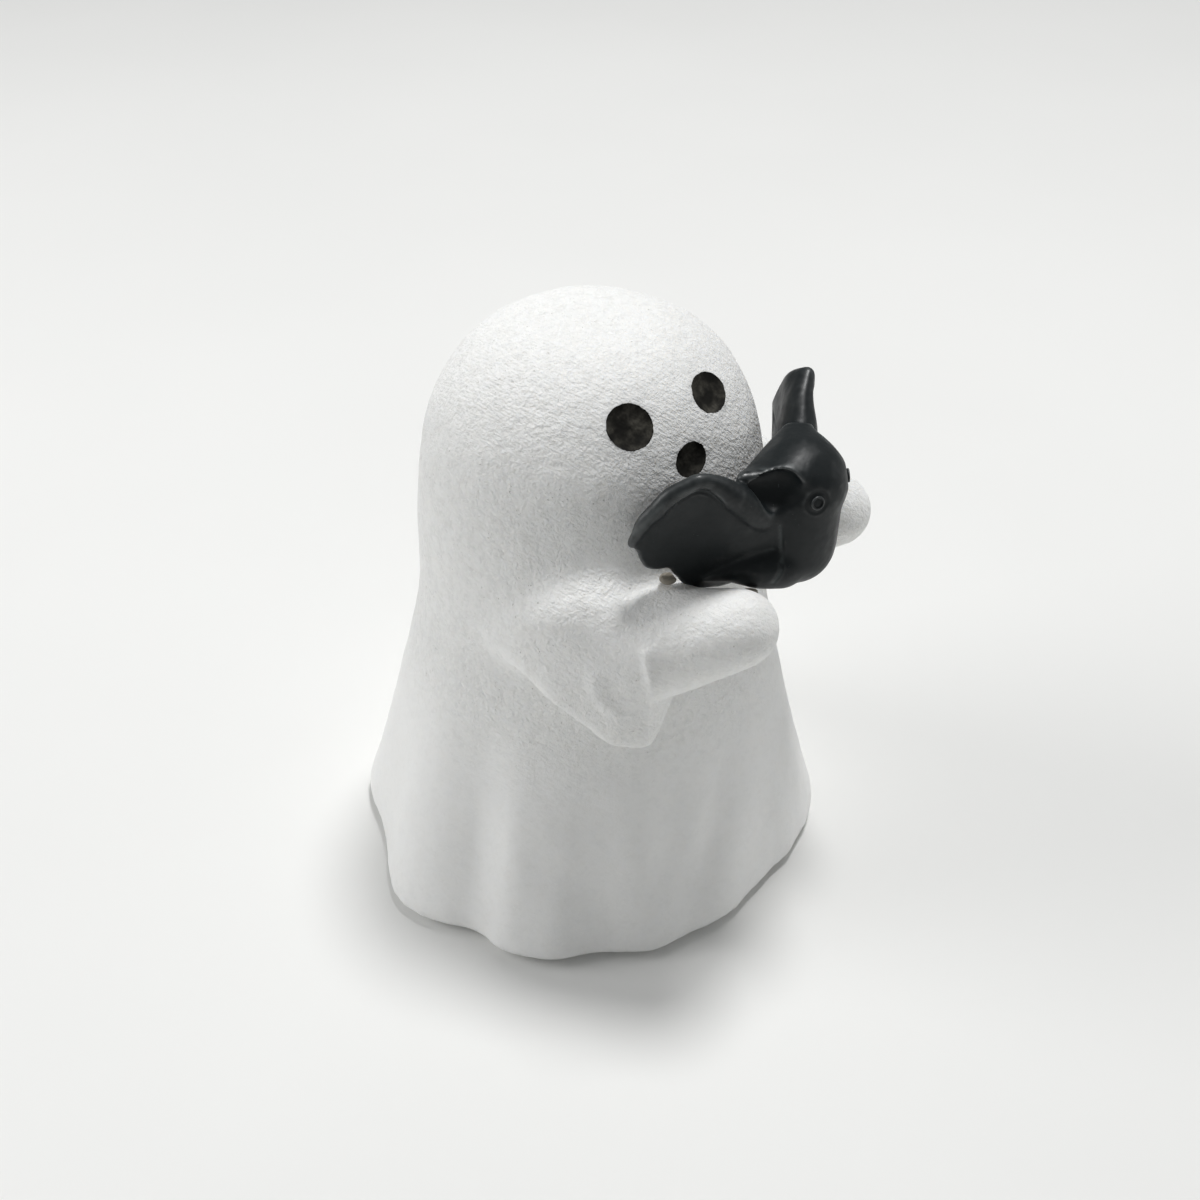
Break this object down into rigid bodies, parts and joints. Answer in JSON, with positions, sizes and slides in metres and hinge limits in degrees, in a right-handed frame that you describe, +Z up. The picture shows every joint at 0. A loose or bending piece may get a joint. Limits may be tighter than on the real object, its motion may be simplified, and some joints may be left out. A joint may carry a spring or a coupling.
{
  "type": "ghost figurine",
  "caption": "Carved white marble ghost with a flared robe and drilled, painted face, holding a small black stone bat on its outstretched hands; stands on a table.",
  "frame": {"origin": "on the flat underside of the robe, straight below the top of the head", "axes": "+Z up, -Y the way that the arms and the bat point, -X to the ghost's right"},
  "size_m": [0.0635, 0.0645, 0.075],
  "materials": {
    "white_marble": "finely pecked above, smoothed below",
    "black_stone": "satin",
    "dark_paint": "matte, mottled",
    "clear_glue": "dried, yellowed"
  },
  "bodies": {
    "root": {"ghost_body": "white_marble", "bat": "black_stone", "right_eye_paint": "dark_paint", "left_eye_paint": "dark_paint", "mouth_paint": "dark_paint", "right_hand_glue": "clear_glue", "left_hand_glue": "clear_glue", "wing_glue": "clear_glue"}
  },
  "joints": []
}
